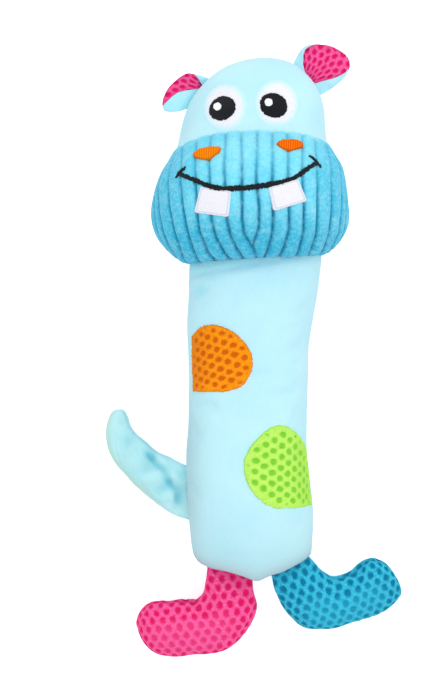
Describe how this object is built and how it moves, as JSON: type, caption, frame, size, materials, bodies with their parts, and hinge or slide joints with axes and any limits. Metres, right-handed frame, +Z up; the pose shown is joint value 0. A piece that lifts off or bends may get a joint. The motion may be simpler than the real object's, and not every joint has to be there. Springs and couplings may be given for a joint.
{
  "type": "plush pet toy",
  "caption": "Soft stick-shaped plush toy with a wide corduroy muzzle, mesh boots and patches, a side tail and squeakers, for a dog to chew and carry.",
  "frame": {"origin": "on the flat of the toy's back, where it rests on a surface, level with the middle of the body", "axes": "+X across the toy to the picture's right, +Y from the feet towards the head, +Z up from the surface through the belly"},
  "size_m": [0.1616, 0.332, 0.0933],
  "materials": {
    "plush_blue": "matte",
    "corduroy_blue": "matte",
    "mesh_orange": "matte",
    "mesh_green": "matte",
    "mesh_pink": "matte",
    "mesh_teal": "matte",
    "embroidery_white": "satin",
    "embroidery_black": "satin",
    "embroidery_orange": "satin",
    "fibre_filling": "matte",
    "squeaker_bulb": "satin",
    "squeaker_reed": "matte"
  },
  "bodies": {
    "torso": {"body_front_panel": "plush_blue", "body_back_panel": "plush_blue", "orange_patch": "mesh_orange", "green_patch": "mesh_green", "body_filling": "fibre_filling", "body_squeaker": "squeaker_bulb", "body_squeaker_reed": "squeaker_reed"},
    "head": {"face_panel": "plush_blue", "muzzle_panel": "corduroy_blue", "head_back_panel": "plush_blue", "head_filling": "fibre_filling", "head_squeaker": "squeaker_bulb", "head_squeaker_reed": "squeaker_reed", "left_eye_white": "embroidery_white", "left_pupil": "embroidery_black", "left_highlight": "embroidery_white", "right_eye_white": "embroidery_white", "right_pupil": "embroidery_black", "right_highlight": "embroidery_white", "left_nostril": "embroidery_orange", "right_nostril": "embroidery_orange", "smile": "embroidery_black", "left_tooth": "embroidery_white", "right_tooth": "embroidery_white"},
    "left_ear": {"left_ear_lining": "mesh_pink", "left_ear_back": "plush_blue"},
    "right_ear": {"right_ear_lining": "mesh_pink", "right_ear_back": "plush_blue"},
    "pink_leg": {"pink_leg_front_panel": "mesh_pink", "pink_leg_back_panel": "mesh_pink", "pink_leg_filling": "fibre_filling"},
    "blue_leg": {"blue_leg_front_panel": "mesh_teal", "blue_leg_back_panel": "mesh_teal", "blue_leg_filling": "fibre_filling"},
    "tail": {"tail_front_panel": "plush_blue", "tail_back_panel": "plush_blue", "tail_filling": "fibre_filling"}
  },
  "joints": [
    {"name": "head_twist", "type": "hinge", "parent": "torso", "child": "head", "pos_m": [0.0024, 0.0864, 0.0305], "axis": [-0.061, 0.9981, 0], "range_deg": [-30, 30]},
    {"name": "left_ear_fold", "type": "hinge", "parent": "head", "child": "left_ear", "pos_m": [-0.02843, 0.17758, 0.0305], "axis": [0.6117, 0.7911, 0], "range_deg": [-50, 50]},
    {"name": "right_ear_fold", "type": "hinge", "parent": "head", "child": "right_ear", "pos_m": [0.03215, 0.18505, 0.0305], "axis": [0.6801, -0.7331, 0], "range_deg": [-50, 50]},
    {"name": "pink_leg_flop", "type": "hinge", "parent": "torso", "child": "pink_leg", "pos_m": [-0.01126, -0.08407, 0.0305], "axis": [0.9583, -0.2857, 0], "range_deg": [-75, 30]},
    {"name": "blue_leg_flop", "type": "hinge", "parent": "torso", "child": "blue_leg", "pos_m": [0.02263, -0.08071, 0.0305], "axis": [0.8892, 0.4574, 0], "range_deg": [-80, 25]},
    {"name": "tail_flop", "type": "hinge", "parent": "torso", "child": "tail", "pos_m": [-0.03467, -0.03969, 0.0305], "axis": [-0.0464, 0.9989, 0], "range_deg": [-26, 74]}
  ]
}
